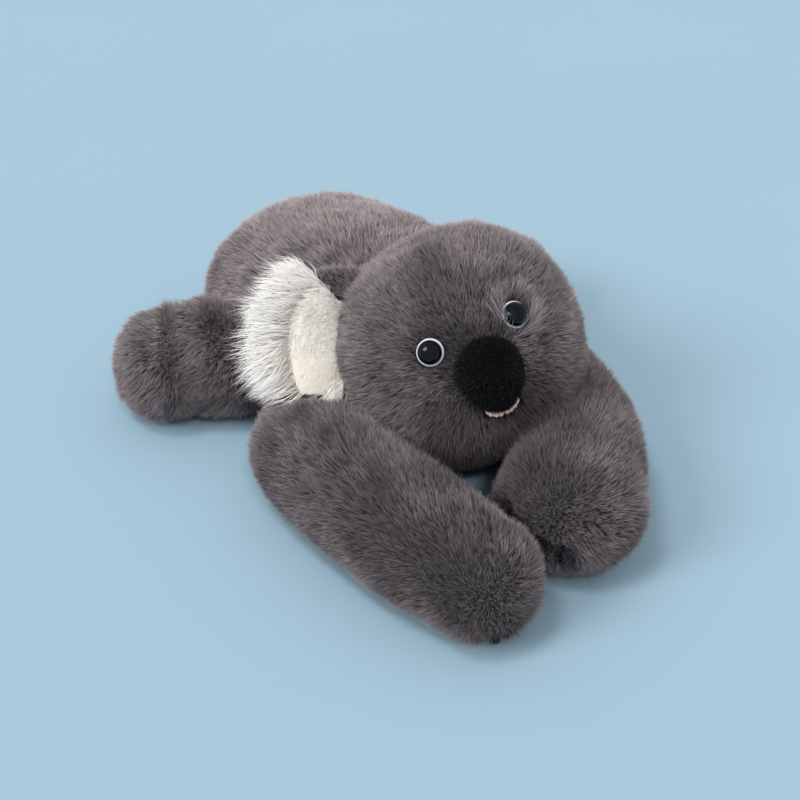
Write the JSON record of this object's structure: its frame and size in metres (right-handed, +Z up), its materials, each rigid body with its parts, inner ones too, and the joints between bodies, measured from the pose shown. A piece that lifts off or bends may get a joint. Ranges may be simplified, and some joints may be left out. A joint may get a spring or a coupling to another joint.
{
  "type": "plush koala",
  "caption": "Plush koala lying on its belly with its head lowered onto folded front legs: jointed neck, floppy ears, swinging limbs, button eyes and a pile nose.",
  "frame": {"origin": "bottom centre of the box round the lying toy, on the ground", "axes": "+Z up, -Y the way that the body heads, +X to the left side of the animal"},
  "size_m": [0.4024, 0.4872, 0.196],
  "materials": {
    "fur": "dense grey-brown fur",
    "ear": "long white fur",
    "lining": "short cream plush",
    "nose": "short black pile",
    "mouth": "cream felt",
    "eye": "glossy",
    "rim": "satin",
    "washer": "matte",
    "claw": "glossy satin-stitched thread"
  },
  "bodies": {
    "torso": {"torso": "fur"},
    "head": {"head": "fur", "nose": "nose", "mouth": "mouth", "right_eye": "eye", "right_eye_rim": "rim", "right_eye_washer": "washer", "left_eye": "eye", "left_eye_rim": "rim", "left_eye_washer": "washer"},
    "right_ear": {"right_ear": "ear", "right_ear_lining": "lining"},
    "left_ear": {"left_ear": "ear", "left_ear_lining": "lining"},
    "right_arm": {"right_arm": "fur", "right_arm_claw_1": "claw", "right_arm_claw_2": "claw", "right_arm_claw_3": "claw", "right_arm_claw_4": "claw"},
    "left_arm": {"left_arm": "fur", "left_arm_claw_1": "claw", "left_arm_claw_2": "claw", "left_arm_claw_3": "claw", "left_arm_claw_4": "claw"},
    "right_leg": {"right_leg": "fur", "right_foot": "fur"},
    "left_leg": {"left_leg": "fur", "left_foot": "fur"}
  },
  "joints": [
    {"name": "neck_nod", "type": "hinge", "parent": "torso", "child": "head", "pos_m": [0.0161, -0.03036, 0.101], "axis": [0.9241, -0.2655, 0.2747], "range_deg": [0, 12], "stiffness_Nm_per_rad": 0.6},
    {"name": "right_ear_flop", "type": "hinge", "parent": "head", "child": "right_ear", "pos_m": [-0.05952, 0.02004, 0.10989], "axis": [0.3977, 0.4563, 0.796], "range_deg": [0, 12], "stiffness_Nm_per_rad": 0.05},
    {"name": "left_ear_unfold", "type": "hinge", "parent": "head", "child": "left_ear", "pos_m": [0.09681, 0.00938, 0.11724], "axis": [0.4664, -0.7676, -0.4396], "range_deg": [0, 20], "stiffness_Nm_per_rad": 0.05},
    {"name": "right_shoulder_swing", "type": "hinge", "parent": "torso", "child": "right_arm", "pos_m": [-0.10654, 0.00964, 0], "axis": [0, 0, -1], "range_deg": [0, 12], "stiffness_Nm_per_rad": 0.3},
    {"name": "left_shoulder_swing", "type": "hinge", "parent": "torso", "child": "left_arm", "pos_m": [0.11474, 0.00964, 0], "axis": [0, 0, 1], "range_deg": [0, 12], "stiffness_Nm_per_rad": 0.3},
    {"name": "right_hip_swing", "type": "hinge", "parent": "torso", "child": "right_leg", "pos_m": [-0.10652, 0.12564, 0], "axis": [0, 0, 1], "range_deg": [0, 12], "stiffness_Nm_per_rad": 0.3},
    {"name": "left_hip_swing", "type": "hinge", "parent": "torso", "child": "left_leg", "pos_m": [0.11472, 0.12564, 0], "axis": [0, 0, 1], "range_deg": [0, 12], "stiffness_Nm_per_rad": 0.3}
  ]
}
